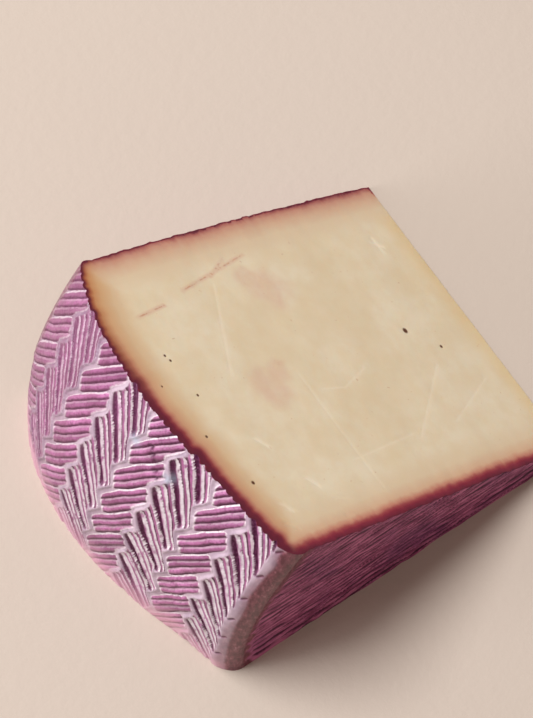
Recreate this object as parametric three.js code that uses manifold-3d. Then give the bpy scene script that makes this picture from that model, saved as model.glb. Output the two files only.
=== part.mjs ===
// A wedge of wine-soaked goat cheese, cut from a low round wheel and lying on one of its two cut faces.
// The wheel's axis runs along Y through the thin tip edge, and the plaited rim faces -X. The other cut face
// rises from the tip to the rim. The two flats carry the ridges of the boards that the wheel drained on.
import * as THREE from 'three';
import { mergeVertices } from 'three/addons/utils/BufferGeometryUtils.js';
import Module from 'manifold-3d';

// Driving dimensions, in millimetres
const WHEEL_HEIGHT = 78;
const WHEEL_RADIUS = 91.4;
const WEDGE_ANGLE = THREE.MathUtils.degToRad(33.3);
const TIP_THICKNESS = 0.7;

// The rim swells between its two flats, more near the table than under the upper cut face, and the whole rim
// has sagged outwards a little where it stands on the table
const BELLY_AT_TABLE = 9.3;
const BELLY_AT_TOP = 6.4;
const BELLY_SKEW = 0.59;
const SAG_AT_TABLE = 1.6;
const FRONT_SHOULDER = 4.8;
const BACK_SHOULDER = 2.6;

// The two flats bow outwards a little, and the front one flares where it meets the table
const FRONT_BOW = 0.4;
const BACK_BOW = 1.6;
const BOW_PEAK = 0.8 * WHEEL_RADIUS;
const FOOT_FLARE = 1.2;
const FOOT_HEIGHT = 6;

// The plait left by the mould: bands round the rim, whose strands lean one way and then the other. Each strand
// pressed a groove, deepest on its side nearer the table, and the first of each bundle pressed deepest.
const BAND_EDGES = [2.6, 11.4, 20.7, 30.9, 40.3, 50.3, 60, 69.2, WHEEL_HEIGHT];
const STRANDS_PER_BUNDLE = 3;
const BUNDLE_PITCH = 8.95;
const STRAND_PITCH = BUNDLE_PITCH / STRANDS_PER_BUNDLE;
const GROOVE_PLACE = 0.35;
const STRAND_REACH = 13.2;
const STRAND_CURVE = 0.35;
const CREST_RISE = 0.3;
const GROOVE_DEPTH = 0.6;
const FIRST_GROOVE_DEPTH = 1.1;

// The drainage ridges on the flats
const RIDGE_PITCH = 2.6;
const RIDGE_HEIGHT = 0.22;
const RIDGE_WANDER = 0.5;

// How finely the faces are divided, and how far the blocks reach past the wedge that is cut from them
const ROWS_PER_BAND = 4;
const SHOULDER_ROWS = 4;
const FLAT_COLUMNS = 8;
const OVERRUN = 4;
const BLOCK_SIZE = 400;

const wasm = await Module();
wasm.setup();

// A closed mesh as a solid that can be joined and cut
function solidOf(geometry) {
  const bare = geometry.clone();
  bare.deleteAttribute('normal');
  bare.deleteAttribute('uv');
  const welded = mergeVertices(bare);
  return new wasm.Manifold(new wasm.Mesh({
    numProp: 3,
    vertProperties: new Float32Array(welded.attributes.position.array),
    triVerts: new Uint32Array(welded.index.array),
  }));
}

// A block with the given grid of points as one face, and a flat far face in the plane where axis = depth.
// The grid is a list of rows, whose columns and rows run so that the face looks away from the block.
function reliefBlock(grid, axis, depth) {
  const lastRow = grid.length - 1;
  const lastColumn = grid[0].length - 1;
  const border = [
    ...grid[0].slice(0, lastColumn),
    ...grid.slice(0, lastRow).map((row) => row[lastColumn]),
    ...grid[lastRow].slice(1).reverse(),
    ...grid.slice(1).map((row) => row[0]).reverse(),
  ];
  const footprint = border.map((point) => point.clone().setComponent(axis, depth));
  const points = [...grid.flat(), ...footprint];
  const indexOf = new Map(points.map((point, index) => [point, index]));
  const triangles = [];
  for (let row = 0; row < lastRow; row += 1) {
    for (let column = 0; column < lastColumn; column += 1) {
      const [a, b] = [grid[row][column], grid[row][column + 1]];
      const [d, c] = [grid[row + 1][column], grid[row + 1][column + 1]];
      triangles.push([a, b, c], [a, c, d]);
    }
  }
  border.forEach((point, step) => {
    const next = (step + 1) % border.length;
    triangles.push([border[next], point, footprint[step]]);
    triangles.push([border[next], footprint[step], footprint[next]]);
  });
  const [across, up] = [0, 1, 2].filter((other) => other !== axis);
  const flatten = (point) => new THREE.Vector2(point.getComponent(across), point.getComponent(up));
  const outline = footprint.map(flatten);
  for (const face of THREE.ShapeUtils.triangulateShape(outline, [])) {
    // Corners in falling order run against the border, as the far face must
    const corners = [...face].sort((first, second) => second - first);
    triangles.push(corners.map((corner) => footprint[corner]));
  }
  const geometry = new THREE.BufferGeometry().setFromPoints(points);
  geometry.setIndex(triangles.flat().map((point) => indexOf.get(point)));
  return solidOf(geometry);
}

// The height in the wheel of one flat, at a distance from the tip edge and a level above the table.
// side is -1 for the front flat and 1 for the back one.
function flatHeight(side, distance, level) {
  const bow = Math.sin((Math.PI / 2) * (distance / BOW_PEAK));
  if (side > 0) return WHEEL_HEIGHT + BACK_BOW * bow;
  return -FRONT_BOW * bow - FOOT_FLARE * Math.exp(-Math.max(level, 0) / FOOT_HEIGHT);
}

// How far the shoulder's rounding draws the rim in, at a distance from the flat next to it
function shoulderDrop(distance, radius) {
  const depth = Math.max(0, radius - distance);
  return radius - Math.sqrt(Math.max(0, radius ** 2 - depth ** 2)) + Math.max(0, -distance);
}

// The radius of the rim without its plait, at a height in the wheel and an angle up from the table
function rimRadius(height, angle) {
  const share = THREE.MathUtils.clamp(height / WHEEL_HEIGHT, 0, 1);
  const belly = THREE.MathUtils.lerp(BELLY_AT_TABLE, BELLY_AT_TOP, angle / WEDGE_ANGLE);
  const swell = belly * 4 * share * (1 - share) * (1 - BELLY_SKEW * (1 - 2 * share));
  const level = WHEEL_RADIUS * Math.sin(angle);
  const frontDrop = shoulderDrop(height - flatHeight(-1, WHEEL_RADIUS, level), FRONT_SHOULDER);
  const backDrop = shoulderDrop(flatHeight(1, WHEEL_RADIUS, level) - height, BACK_SHOULDER);
  const sag = THREE.MathUtils.lerp(SAG_AT_TABLE, 0, angle / WEDGE_ANGLE);
  return WHEEL_RADIUS + sag + swell - frontDrop - backDrop;
}

// Which band of the plait a height in the wheel lies in, and how far up that band it is, from 0 to 1
function placeInPlait(height) {
  const lastBand = BAND_EDGES.length - 2;
  const above = BAND_EDGES.findIndex((edge) => edge > height);
  const band = above < 0 ? lastBand : Math.max(above - 1, 0);
  const share = (height - BAND_EDGES[band]) / (BAND_EDGES[band + 1] - BAND_EDGES[band]);
  return { band, share: THREE.MathUtils.clamp(share, 0, 1) };
}

// How far round the rim a strand has come at a height: straight in the bands that lean one way, and rising
// ever more steeply in those that lean the other way
function strandLean(height) {
  const { band, share } = placeInPlait(height);
  if (band % 2 === 1) return STRAND_REACH * (1 - share);
  return STRAND_REACH * share * (1 + STRAND_CURVE * (1 - share));
}

// The height of the plait on the crest before a strand (even columns) or in its groove (odd columns)
function plaitRelief(column, height) {
  const fullness = Math.sin(Math.PI * placeInPlait(height).share);
  if (column % 2 === 0) return CREST_RISE * fullness;
  const isFirst = column % (2 * STRANDS_PER_BUNDLE) === 1;
  return -(isFirst ? FIRST_GROOVE_DEPTH : GROOVE_DEPTH) * fullness;
}

// The heights in the wheel at which the rim has a row of points
function rimRows() {
  const foot = -FOOT_FLARE - FRONT_BOW;
  const rows = [-OVERRUN];
  for (let step = 0; step < SHOULDER_ROWS; step += 1) {
    rows.push(THREE.MathUtils.lerp(foot, BAND_EDGES[0], (step / SHOULDER_ROWS) ** 1.5));
  }
  for (let band = 0; band < BAND_EDGES.length - 1; band += 1) {
    for (let row = 0; row < ROWS_PER_BAND; row += 1) {
      rows.push(THREE.MathUtils.lerp(BAND_EDGES[band], BAND_EDGES[band + 1], row / ROWS_PER_BAND));
    }
  }
  rows.push(WHEEL_HEIGHT, WHEEL_HEIGHT + BACK_BOW / 2, WHEEL_HEIGHT + BACK_BOW, WHEEL_HEIGHT + OVERRUN);
  return rows;
}

// Everything behind the plaited rim. Its columns of points follow the strands.
function rimBlock() {
  const arcEnd = WHEEL_RADIUS * WEDGE_ANGLE + 2 * OVERRUN;
  const arcStart = -STRAND_REACH - 2 * OVERRUN;
  const strandCount = Math.ceil((arcEnd - arcStart) / STRAND_PITCH);
  const grid = rimRows().map((height) => {
    const row = [];
    for (let column = 0; column <= 2 * strandCount; column += 1) {
      const strand = Math.floor(column / 2) + (column % 2) * GROOVE_PLACE;
      const arc = arcStart + strand * STRAND_PITCH + strandLean(height);
      const angle = arc / WHEEL_RADIUS;
      const radius = rimRadius(height, angle) + plaitRelief(column, height);
      row.push(new THREE.Vector3(-radius * Math.cos(angle), height, radius * Math.sin(angle)));
    }
    return row;
  });
  return reliefBlock(grid, 0, 0);
}

// Everything behind one ridged flat
function flatBlock(side) {
  const reach = WHEEL_RADIUS + BELLY_AT_TABLE + OVERRUN;
  const rowCount = Math.ceil((reach * Math.sin(WEDGE_ANGLE) + 2 * OVERRUN) / (RIDGE_PITCH / 2));
  const grid = [];
  for (let step = 0; step <= rowCount; step += 1) {
    const level = -OVERRUN + (step * RIDGE_PITCH) / 2;
    const row = [];
    for (let column = 0; column <= FLAT_COLUMNS; column += 1) {
      const x = OVERRUN - ((reach + OVERRUN) * column) / FLAT_COLUMNS;
      const z = level + RIDGE_WANDER * Math.sin(step * 1.9 + column * 0.8);
      const groove = step % 2 === 0 ? 0 : RIDGE_HEIGHT;
      row.push(new THREE.Vector3(x, flatHeight(side, Math.hypot(x, z), z) - side * groove, z));
    }
    grid.push(side < 0 ? row.reverse() : row);
  }
  return reliefBlock(grid, 1, -side * BLOCK_SIZE);
}

// A large box, turned about the tip edge, whose top or bottom face lies along a cut
function cuttingBox(angle, level, direction) {
  const geometry = new THREE.BoxGeometry(BLOCK_SIZE, BLOCK_SIZE, BLOCK_SIZE);
  geometry.translate(0, 0, (direction * BLOCK_SIZE) / 2);
  geometry.rotateY(angle);
  geometry.translate(0, 0, level);
  return solidOf(geometry);
}

function cheeseGeometry() {
  const wheelPart = rimBlock().intersect(flatBlock(-1)).intersect(flatBlock(1));
  const aboveTable = cuttingBox(0, 0, 1);
  const belowUpperCut = cuttingBox(WEDGE_ANGLE, TIP_THICKNESS, -1);
  const cut = wheelPart.intersect(aboveTable).intersect(belowUpperCut).getMesh();
  const geometry = new THREE.BufferGeometry();
  geometry.setAttribute('position', new THREE.Float32BufferAttribute(cut.vertProperties, 3));
  geometry.setIndex(Array.from(cut.triVerts));
  return geometry;
}

// The wedge stands on the middle of its own footprint
const geometry = cheeseGeometry();
geometry.computeBoundingBox();
const middle = geometry.boundingBox.getCenter(new THREE.Vector3());
geometry.translate(-middle.x, -middle.y, -geometry.boundingBox.min.z);
geometry.computeVertexNormals();

const paste = new THREE.MeshStandardMaterial({ color: '#a9657f', roughness: 0.45, metalness: 0 });
const cheese = new THREE.Mesh(geometry, paste);
cheese.name = 'cheese_wedge';

const group = new THREE.Group();
group.add(cheese);

export default group;
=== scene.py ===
import logging
import math
from collections.abc import Callable
from dataclasses import astuple, dataclass, field
from enum import Enum

import bpy
import numpy as np
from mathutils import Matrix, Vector, kdtree
from mathutils.geometry import delaunay_2d_cdt


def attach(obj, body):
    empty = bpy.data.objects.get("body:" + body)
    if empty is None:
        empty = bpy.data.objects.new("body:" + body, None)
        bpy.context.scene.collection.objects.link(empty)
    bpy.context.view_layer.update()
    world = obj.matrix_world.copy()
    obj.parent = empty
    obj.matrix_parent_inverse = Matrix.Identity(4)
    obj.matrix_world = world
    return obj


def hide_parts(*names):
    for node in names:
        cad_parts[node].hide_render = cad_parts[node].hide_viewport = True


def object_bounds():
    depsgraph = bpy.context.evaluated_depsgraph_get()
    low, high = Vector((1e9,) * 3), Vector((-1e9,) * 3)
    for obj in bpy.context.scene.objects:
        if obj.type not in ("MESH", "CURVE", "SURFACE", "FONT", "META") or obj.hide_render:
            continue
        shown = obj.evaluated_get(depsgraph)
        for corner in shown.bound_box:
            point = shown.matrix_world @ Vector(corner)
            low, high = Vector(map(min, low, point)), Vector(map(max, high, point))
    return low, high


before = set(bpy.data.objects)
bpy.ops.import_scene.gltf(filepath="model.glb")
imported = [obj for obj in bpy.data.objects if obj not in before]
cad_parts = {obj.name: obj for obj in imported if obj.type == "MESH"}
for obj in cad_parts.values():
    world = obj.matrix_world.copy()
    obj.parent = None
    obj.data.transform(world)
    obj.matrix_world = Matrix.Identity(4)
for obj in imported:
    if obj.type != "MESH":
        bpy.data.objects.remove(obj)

NODE = "cheese_wedge"
BODY = "root"

# Every size below is in millimetres. Meshes, lights and the camera are in metres.
MM = 0.001

# The standard curve from a paint chart's channel to light
FULL_CHANNEL = 255
CURVE_FOOT = 0.04045
CURVE_FOOT_SLOPE = 12.92
CURVE_OFFSET = 0.055
CURVE_POWER = 2.4

# The strands in each bundle of the plait, and the size of the table of their quirks
STRANDS = 3
QUIRK_TABLE = (251, 4)

# Seeds of the random draws
LUMP_SEED = 3
QUIRK_SEED = 5
PLAIT_SEED = 11
RIDGE_SEED = 23
MARK_SEED = 37

# What a finish can read at each point of the wedge
FIELDS = (
    "stain", "phase", "rising", "lens", "firm", "tone", "share", "blue", "foot", "rear",
    "shoulder", "flat", "groove", "rim_gap", "flat_gap", "tip_gap", "across", "speck", "blush", "scar",
)

Fields = dict[str, np.ndarray]
Colour = tuple[float, float, float, float]
Stops = tuple[tuple[float, Colour], ...]
Span = tuple[float, float]
Axes = tuple[float, float, float]
Spot = tuple[float, float, float]
Line = tuple[float, float, float, float]
Number = float | np.ndarray

log = logging.getLogger("wedge")
cad_low, cad_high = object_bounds()


def smooth_step(values: np.ndarray, start: Number, end: Number) -> np.ndarray:
    """Ease from 0 to 1 between two values.

    Args:
        values: The numbers to ease.
        start: Where the step leaves 0.
        end: Where the step reaches 1.

    Returns:
        One share from 0 to 1 for each number.
    """
    share = np.clip((values - start) / (end - start), 0.0, 1.0)
    return share * share * (3.0 - 2.0 * share)


def paint(red: int, green: int, blue: int) -> Colour:
    """Turn a paint chart's colour, 0 to 255 a channel, into the light values that shaders use.

    Args:
        red: The red channel.
        green: The green channel.
        blue: The blue channel.

    Returns:
        The three light values, and 1 for opaque.
    """
    channels = []
    for channel in (red, green, blue):
        share = channel / FULL_CHANNEL
        if share <= CURVE_FOOT:
            channels.append(share / CURVE_FOOT_SLOPE)
        else:
            channels.append(((share + CURVE_OFFSET) / (1 + CURVE_OFFSET)) ** CURVE_POWER)
    return (*channels, 1.0)


@dataclass(frozen=True)
class Ripple:
    """One layer of unevenness: its height, its lumps' size both ways, and where in the noise it starts."""

    height: float
    across: float
    along: float
    start_across: float = 0.0
    start_along: float = 0.0


class Unevenness:
    """Smooth seeded noise over a plane, between -1 and 1, one lump to each unit."""

    SIZE = 256

    def __init__(self, seed: int) -> None:
        """Draw the lattice of random heights."""
        self.lattice = np.random.default_rng(seed).uniform(-1.0, 1.0, (self.SIZE, self.SIZE))

    def at(self, across: np.ndarray, along: np.ndarray) -> np.ndarray:
        """Read the noise.

        Args:
            across: The first coordinate of each point, in lumps.
            along: The second coordinate of each point, in lumps.

        Returns:
            One height for each point.
        """
        column = np.floor(across).astype(int)
        row = np.floor(along).astype(int)
        s = smooth_step(across - column, 0.0, 1.0)
        t = smooth_step(along - row, 0.0, 1.0)
        left, right = column % self.SIZE, (column + 1) % self.SIZE
        low, high = row % self.SIZE, (row + 1) % self.SIZE
        near = self.lattice[low, left] * (1 - s) + self.lattice[low, right] * s
        far = self.lattice[high, left] * (1 - s) + self.lattice[high, right] * s
        return near * (1 - t) + far * t

    def layer(self, ripple: Ripple, across: np.ndarray, along: np.ndarray) -> np.ndarray:
        """Read one layer of the noise.

        Args:
            ripple: The layer.
            across: The first coordinate of each point, in millimetres.
            along: The second coordinate of each point, in millimetres.

        Returns:
            One height for each point.
        """
        column = across / ripple.across + ripple.start_across
        row = along / ripple.along + ripple.start_along
        return ripple.height * self.at(column, row)


class Side(Enum):
    """The two flats of the wheel."""

    FRONT = -1
    BACK = 1


class Face(Enum):
    """The stretches of the wedge's surface. The two cut faces and the tip show paste, the others rind."""

    RIM = 0
    FRONT_FLAT = 1
    BACK_FLAT = 2
    UPPER_CUT = 3
    LOWER_CUT = 4
    TIP = 5

    def is_rind(self) -> bool:
        """Say whether the stretch is rind."""
        return self in (Face.RIM, Face.FRONT_FLAT, Face.BACK_FLAT)


@dataclass(frozen=True)
class WheelForm:
    """The wheel that the wedge was cut from.

    Its axis is y, at the tip edge. The rim lies below x = 0, and z runs up from the table.
    """

    height: float = 78.0
    radius: float = 91.4
    wedge_angle: float = math.radians(33.3)
    tip_thickness: float = 0.7
    belly_at_table: float = 9.3
    belly_at_top: float = 6.4
    belly_skew: float = 0.59
    sag_at_table: float = 1.6
    front_shoulder: float = 4.8
    back_shoulder: float = 2.6
    front_bow: float = 0.4
    back_bow: float = 1.6
    bow_peak_share: float = 0.8
    foot_flare: float = 1.2
    foot_height: float = 6.0

    def flat_height(self, side: Side, distance: np.ndarray, level: np.ndarray) -> np.ndarray:
        """Give the height in the wheel of one flat.

        Args:
            side: Which flat.
            distance: Distance from the tip edge.
            level: Height above the table.

        Returns:
            The height in the wheel at each point.
        """
        bow = np.sin(math.pi / 2 * distance / (self.bow_peak_share * self.radius))
        if side is Side.BACK:
            return self.height + self.back_bow * bow
        return -self.front_bow * bow - self.foot_flare * np.exp(-np.maximum(level, 0.0) / self.foot_height)

    def swell(self, height: np.ndarray, angle: np.ndarray) -> np.ndarray:
        """Give how far the rim bellies out.

        Args:
            height: Height in the wheel.
            angle: Angle up from the table.

        Returns:
            The extra radius at each point.
        """
        share = np.clip(height / self.height, 0.0, 1.0)
        turn = angle / self.wedge_angle
        belly = self.belly_at_table + (self.belly_at_top - self.belly_at_table) * turn
        return belly * 4 * share * (1 - share) * (1 - self.belly_skew * (1 - 2 * share))

    @property
    def front_run(self) -> float:
        """Length over the front shoulder."""
        return math.pi / 2 * self.front_shoulder

    @property
    def back_run(self) -> float:
        """Length over the back shoulder."""
        return math.pi / 2 * self.back_shoulder

    @property
    def whole_run(self) -> float:
        """Length over the rim from flat to flat."""
        return self.front_run + self.height - self.front_shoulder - self.back_shoulder + self.back_run

    def rim_profile(self, run: np.ndarray, angle: np.ndarray) -> tuple[np.ndarray, np.ndarray]:
        """Follow the rim from the front flat over both shoulders to the back flat.

        Args:
            run: Length along the profile.
            angle: Angle up from the table.

        Returns:
            The radius, without its plait, and the height in the wheel.
        """
        level = self.radius * np.sin(angle)
        front = self.flat_height(Side.FRONT, self.radius - self.front_shoulder, level)
        back = self.flat_height(Side.BACK, self.radius - self.back_shoulder, level)
        straight = self.whole_run - self.front_run - self.back_run
        front_turn = np.clip(1 - run / self.front_run, 0.0, 1.0) * math.pi / 2
        back_turn = np.clip(1 - (self.whole_run - run) / self.back_run, 0.0, 1.0) * math.pi / 2
        share = np.clip((run - self.front_run) / straight, 0.0, 1.0)
        height = (
            front
            + self.front_shoulder * (1 - np.sin(front_turn))
            + share * (back - front - self.front_shoulder - self.back_shoulder)
            + self.back_shoulder * np.sin(back_turn)
        )
        drop = self.front_shoulder * (1 - np.cos(front_turn)) + self.back_shoulder * (1 - np.cos(back_turn))
        sag = self.sag_at_table * (1 - angle / self.wedge_angle)
        return self.radius + sag + self.swell(height, angle) - drop, height

    def top_level(self, x: np.ndarray) -> np.ndarray:
        """Give the height above the table of the upper cut face."""
        return self.tip_thickness - x * math.tan(self.wedge_angle)

    def top_angle(self, radius: np.ndarray) -> np.ndarray:
        """Give the angle up from the table at which a circle meets the upper cut face."""
        return self.wedge_angle + np.arcsin(self.tip_thickness * math.cos(self.wedge_angle) / radius)


@dataclass(frozen=True)
class Strand:
    """One kind of strand: its depth, and where its flanks run, as shares of its own width."""

    depth: float
    rise_start: float
    rise_end: float
    fall_start: float


@dataclass(frozen=True)
class Plait:
    """The basket weave pressed round the rim: bands of strands in bundles of three, leaning to and fro."""

    band_edges: tuple[float, ...] = (2.6, 11.4, 20.7, 30.9, 40.3, 50.3, 60.0, 69.2, 78.6)
    bundle_places: tuple[float, ...] = (32.2, 38.3, 34.0, 37.9, 33.6, 37.9, 33.8, 38.2)
    contrasts: tuple[float, ...] = (1.0, 0.95, 1.0, 0.9, 0.8, 0.6, 0.25, 0.5)
    fuzziness: tuple[float, ...] = (0.3, 0.3, 0.3, 0.35, 0.4, 0.6, 1.3, 1.0)
    least_band: float = 1.0
    bundle_pitch: float = 8.95
    rising_reach: float = 12.8
    falling_reach: float = 13.5
    curve: float = 0.32
    rising_shares: tuple[float, ...] = (0.0, 0.41, 0.71, 1.0)
    falling_shares: tuple[float, ...] = (0.0, 0.36, 0.68, 1.0)
    wide: Strand = Strand(1.15, 0.3, 0.85, 0.8)
    narrow: Strand = Strand(0.62, 0.06, 0.6, 0.8)
    falling: Strand = Strand(0.5, 0.06, 0.24, 0.7)
    fall_width: float = 0.24
    least_depth: float = 0.8
    depth_spread: float = 0.4
    top_drop: float = 0.1
    end_taper: float = 1.2
    end_waver: float = 0.6
    matrix_rise: float = 0.2
    border_zigzag: float = 1.05
    border_width: float = 0.2
    zigzag_rise: float = 0.5
    falling_peak: float = 0.4
    bundle_width: float = 0.99
    rising_squareness: float = 6.0
    falling_squareness: float = 3.6
    cushion_height: float = 0.6
    rising_cushion: float = 0.4
    gap_share: float = 0.22
    drift: Ripple = Ripple(0.22, 6.5, 5.5)
    tremble: Ripple = Ripple(0.06, 1.1, 0.9)
    lift: Ripple = Ripple(0.22, 3.4, 5.3, 40.0, 17.0)
    soft_edge: Ripple = Ripple(2.5, 5.0, 6.0, 9.0)
    soft_foot: Span = (1.0, 12.0)
    foot_firmness: float = 0.25
    front_fade: Span = (1.6, 4.0)
    pink_edge: Ripple = Ripple(3.0, 4.0, 7.0, 0.0, 5.0)
    pink_foot: Span = (1.0, 11.0)
    rear_span: Span = (55.0, 64.0)
    fine: Ripple = Ripple(0.06, 0.45, 0.5)
    fibre_height: float = 0.1
    fibres_a_bundle: float = 27.0
    fibre_breaks: float = 9.0
    fibre_shift: int = 13
    quirk_steps: tuple[int, int, int] = (37, 5, 11)
    notch_place: float = 34.6
    notch_height: float = 2.3
    notch_slope: float = -0.75
    notch_length: float = 2.2
    notch_core: float = 0.6
    notch_width: float = 0.34
    notch_depth: float = 0.35
    seam: tuple[Spot, ...] = (
        (41.8, 32.1, 0.6),
        (43.2, 33.1, 0.75),
        (45.0, 34.3, 0.8),
        (45.8, 35.5, 0.75),
        (47.0, 36.5, 0.6),
    )
    blue_places: tuple[Spot, ...] = ((45.0, 40.4, 1.2), (44.6, 29.7, 1.2))
    noise: Unevenness = field(default_factory=lambda: Unevenness(PLAIT_SEED))
    quirks: np.ndarray = field(
        default_factory=lambda: np.random.default_rng(QUIRK_SEED).uniform(0, 1, QUIRK_TABLE)
    )

    def rising_lean(self, share: Number) -> Number:
        """Give how far round the rim a rising strand has come, part of the way up its band."""
        return self.rising_reach * share * (1 + self.curve * (1 - share))

    def border(self, index: int, arc: np.ndarray) -> np.ndarray:
        """Give the height of one jagged border between bands.

        Args:
            index: Which border, from the front.
            arc: Length round the rim from the table.

        Returns:
            The height in the wheel at each arc.
        """
        if index in (0, len(self.band_edges) - 1):
            return np.full_like(arc, self.band_edges[index])
        below = index - 1
        if below % 2 == 0:
            lean = self.rising_lean(1.0) - self.rising_lean(0.5)
        else:
            lean = self.falling_peak * self.bundle_pitch - self.falling_reach / 2
        turn = (arc - self.bundle_places[below] - lean) / self.bundle_pitch + self.zigzag_rise
        turn = turn - np.floor(turn)
        up = turn / self.zigzag_rise
        down = (1 - turn) / (1 - self.zigzag_rise)
        zigzag = np.minimum(up, down)
        zigzag = zigzag + smooth_step(zigzag, 0.0, 1.0) - 1
        return self.band_edges[index] + self.border_zigzag * zigzag

    def notches(self, arc: np.ndarray, height: np.ndarray) -> np.ndarray:
        """Give the dark nicks along the front border of the plait.

        Args:
            arc: Length round the rim from the table.
            height: Height in the wheel.

        Returns:
            The share of a nick's full depth at each point.
        """
        turn = (arc - self.notch_place) / self.bundle_pitch
        away = (turn - np.round(turn)) * self.bundle_pitch
        up = height - self.notch_height
        slant = math.hypot(1.0, self.notch_slope)
        along = (away + up * self.notch_slope) / slant
        off = (up - away * self.notch_slope) / slant
        half = self.notch_length / 2
        inside = 1 - smooth_step(np.abs(along), self.notch_core * half, half)
        return inside * np.exp(-((off / self.notch_width) ** 2))

    @staticmethod
    def spots(places: tuple[Spot, ...], arc: np.ndarray, height: np.ndarray) -> np.ndarray:
        """Give how strongly each point lies in round spots.

        Args:
            places: Each spot's arc, height and size.
            arc: Length round the rim from the table.
            height: Height in the wheel.

        Returns:
            One share for each point, from 0 far away to 1 in a spot's middle.
        """
        shares = []
        for spot_arc, spot_height, size in places:
            shares.append(np.exp(-((arc - spot_arc) ** 2 + (height - spot_height) ** 2) / size**2))
        return np.max(shares, axis=0)

    def bundle_place(self, arc: np.ndarray, band: np.ndarray, share: np.ndarray) -> np.ndarray:
        """Say where each point lies among the leaning bundles of its band.

        Args:
            arc: Length round the rim, as the strands feel it.
            band: Each point's band, from the front.
            share: How far up its band each point lies.

        Returns:
            The bundle's number, plus the share of its width.
        """
        rises = band % 2 == 0
        rising = self.rising_lean(share) - self.rising_lean(0.5)
        lean = np.where(rises, rising, self.falling_reach * (0.5 - share))
        centre = np.where(rises, self.rising_shares[1] / 2, 0.5)
        return (arc - np.array(self.bundle_places)[band] - lean) / self.bundle_pitch + centre

    def cushion_share(
        self, from_low: np.ndarray, from_high: np.ndarray, inner: np.ndarray, rises: np.ndarray
    ) -> np.ndarray:
        """Give the shape of each bundle's cushion, from 0 at its rounded outline to 1 in its middle.

        Args:
            from_low: Distance above the band's lower border.
            from_high: Distance below its upper border.
            inner: Share of the bundle's width.
            rises: Whether the band's strands rise.

        Returns:
            One share for each point.
        """
        end_off = np.abs(from_low - from_high) / np.maximum(from_low + from_high, self.least_band)
        side_off = np.abs(2 * inner - 1) / self.bundle_width
        power = np.where(rises, self.rising_squareness, self.falling_squareness)
        return np.clip(1 - np.clip(end_off, 0.0, 1.0) ** power - side_off**power, 0.0, 1.0)

    def strand_form(
        self, width: np.ndarray, strand: np.ndarray, rises: np.ndarray
    ) -> tuple[np.ndarray, np.ndarray]:
        """Give the section of each strand.

        Args:
            width: Share of the strand's own width.
            strand: The strand's number in its bundle.
            rises: Whether the band's strands rise.

        Returns:
            The height of the crown as a share, and the groove's depth.
        """
        forms = np.array([astuple(form) for form in (self.wide, self.narrow, self.falling)])
        kind = np.where(rises, np.minimum(strand, 1), len(forms) - 1)
        depth, rise_start, rise_end, fall_start = forms[kind].T
        fall = smooth_step(width - fall_start, 0.0, self.fall_width)
        return smooth_step(width, rise_start, rise_end) * (1 - fall), depth

    def firmness(self, arc: np.ndarray, height: np.ndarray) -> np.ndarray:
        """Give how firmly the plait was pressed: less near the table and at the front shoulder.

        Args:
            arc: Length round the rim from the table.
            height: Height in the wheel.

        Returns:
            One share for each point.
        """
        foot = smooth_step(arc + self.noise.layer(self.soft_edge, arc, height), *self.soft_foot)
        firm = self.foot_firmness + (1 - self.foot_firmness) * foot
        return firm * smooth_step(height, *self.front_fade)

    def press(self, arc: np.ndarray, height: np.ndarray) -> tuple[np.ndarray, Fields]:
        """Press the plait into the rim.

        Args:
            arc: Length round the rim from the table.
            height: Height in the wheel.

        Returns:
            The relief at each point, and the marks that the finish reads.
        """
        slow = self.noise.layer(self.drift, arc, height)
        arc_felt = arc + slow + self.noise.layer(self.tremble, arc, height)
        height_felt = height + self.noise.layer(self.lift, arc, height)
        borders = np.stack([self.border(index, arc_felt) for index in range(len(self.band_edges))])
        band = np.sum(height_felt >= borders[1:-1], axis=0)
        points = np.arange(len(arc))
        from_low = height_felt - borders[band, points]
        from_high = borders[band + 1, points] - height_felt
        edges = np.array(self.band_edges)
        share = (height_felt - edges[band]) / (edges[band + 1] - edges[band])
        rises = band % 2 == 0
        place = self.bundle_place(arc_felt, band, share)
        bundle = np.floor(place)
        inner = place - bundle
        turns = np.arange(STRANDS + 1)
        rising_phase = np.interp(inner, self.rising_shares, turns)
        falling_phase = np.interp(inner, self.falling_shares, turns)
        phase = np.where(rises, rising_phase, falling_phase)
        strand = np.minimum(np.floor(phase), STRANDS - 1).astype(int)
        steps = self.quirk_steps
        pick = band * steps[0] + bundle.astype(int) * steps[1] + strand * steps[2]
        short_low, short_high, boldness, tone = self.quirks[pick % len(self.quirks)].T
        half = self.border_width / 2
        room_low = from_low - half - self.end_waver * short_low
        room_high = from_high - half - self.end_waver * short_high
        room = np.minimum(room_low, room_high)
        oval = self.cushion_share(from_low, from_high, inner, rises)
        apart = np.sqrt(np.clip(oval / self.gap_share, 0.0, 1.0))
        lens = np.sqrt(np.clip(room / self.end_taper, 0.0, 1.0)) * apart
        crown, depth = self.strand_form(phase - strand, strand, rises)
        contrast = np.array(self.contrasts)[band]
        depth = depth * (self.least_depth + self.depth_spread * boldness) * contrast**0.5
        firmness = self.firmness(arc, height)
        fibre_place = place * self.fibres_a_bundle + band * self.fibre_shift
        fibres = self.noise.at(fibre_place, share * self.fibre_breaks)
        rough = self.fibre_height * fibres + self.noise.layer(self.fine, arc, height)
        rough = np.array(self.fuzziness)[band] * rough * firmness
        pressed = -self.top_drop - depth * (1 - crown)
        cushion = np.where(rises, self.rising_cushion, 1.0) * self.cushion_height * (np.sqrt(oval) - 1)
        relief = firmness * (self.matrix_rise + (pressed - self.matrix_rise) * lens + cushion)
        notch = np.maximum(self.notches(arc, height), self.spots(self.seam, arc, height))
        pink = arc + self.noise.layer(self.pink_edge, arc, height)
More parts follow.
